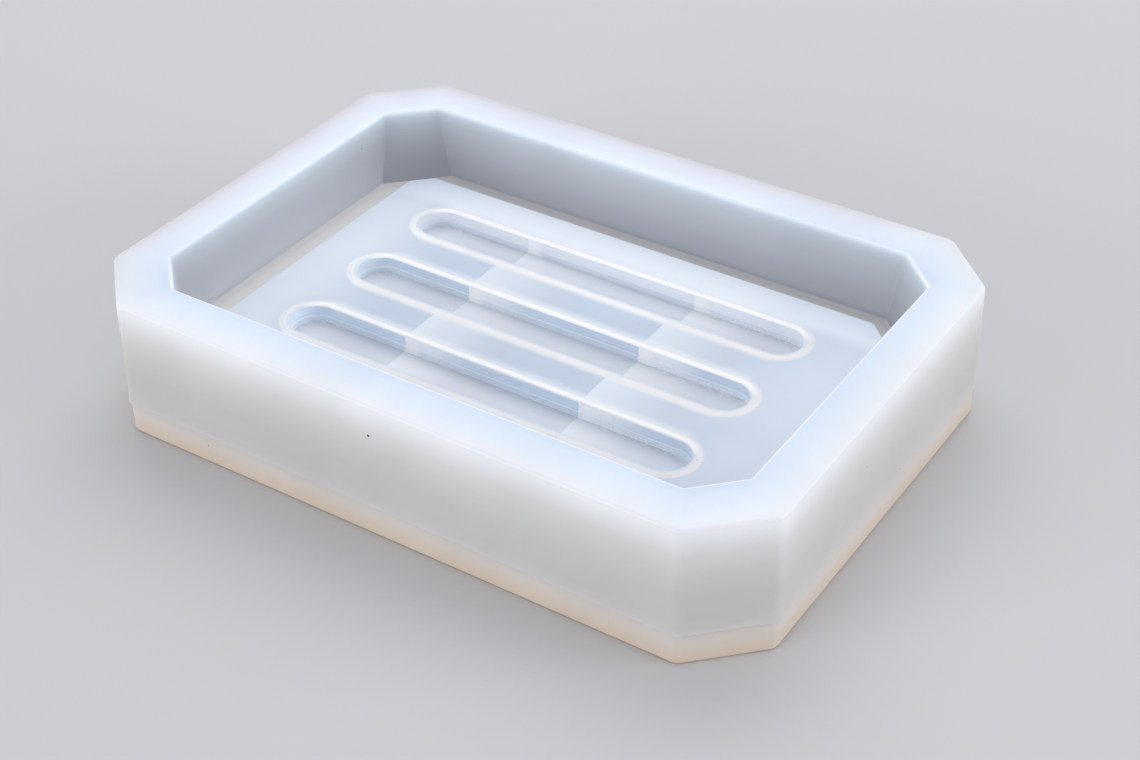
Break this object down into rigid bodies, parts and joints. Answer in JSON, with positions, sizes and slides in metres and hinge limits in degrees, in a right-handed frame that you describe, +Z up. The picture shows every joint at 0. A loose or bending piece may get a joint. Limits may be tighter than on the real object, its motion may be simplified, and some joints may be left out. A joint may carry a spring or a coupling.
{
  "type": "silicone soap mould",
  "caption": "Octagonal silicone block with a shallow tray on top, whose raised floor has a moat round it and long round-ended grooves, for casting a soap dish.",
  "frame": {"origin": "middle of the underside, which is the bottom centre of the bounding box", "axes": "+X along the block's length, +Y across its width, +Z up out of the tray's mouth"},
  "size_m": [0.1512, 0.1084, 0.03],
  "materials": {
    "clear_silicone": "satin",
    "warm_silicone": "satin"
  },
  "bodies": {
    "root": {"mould_body": "clear_silicone", "base_layer": "warm_silicone"}
  },
  "joints": []
}
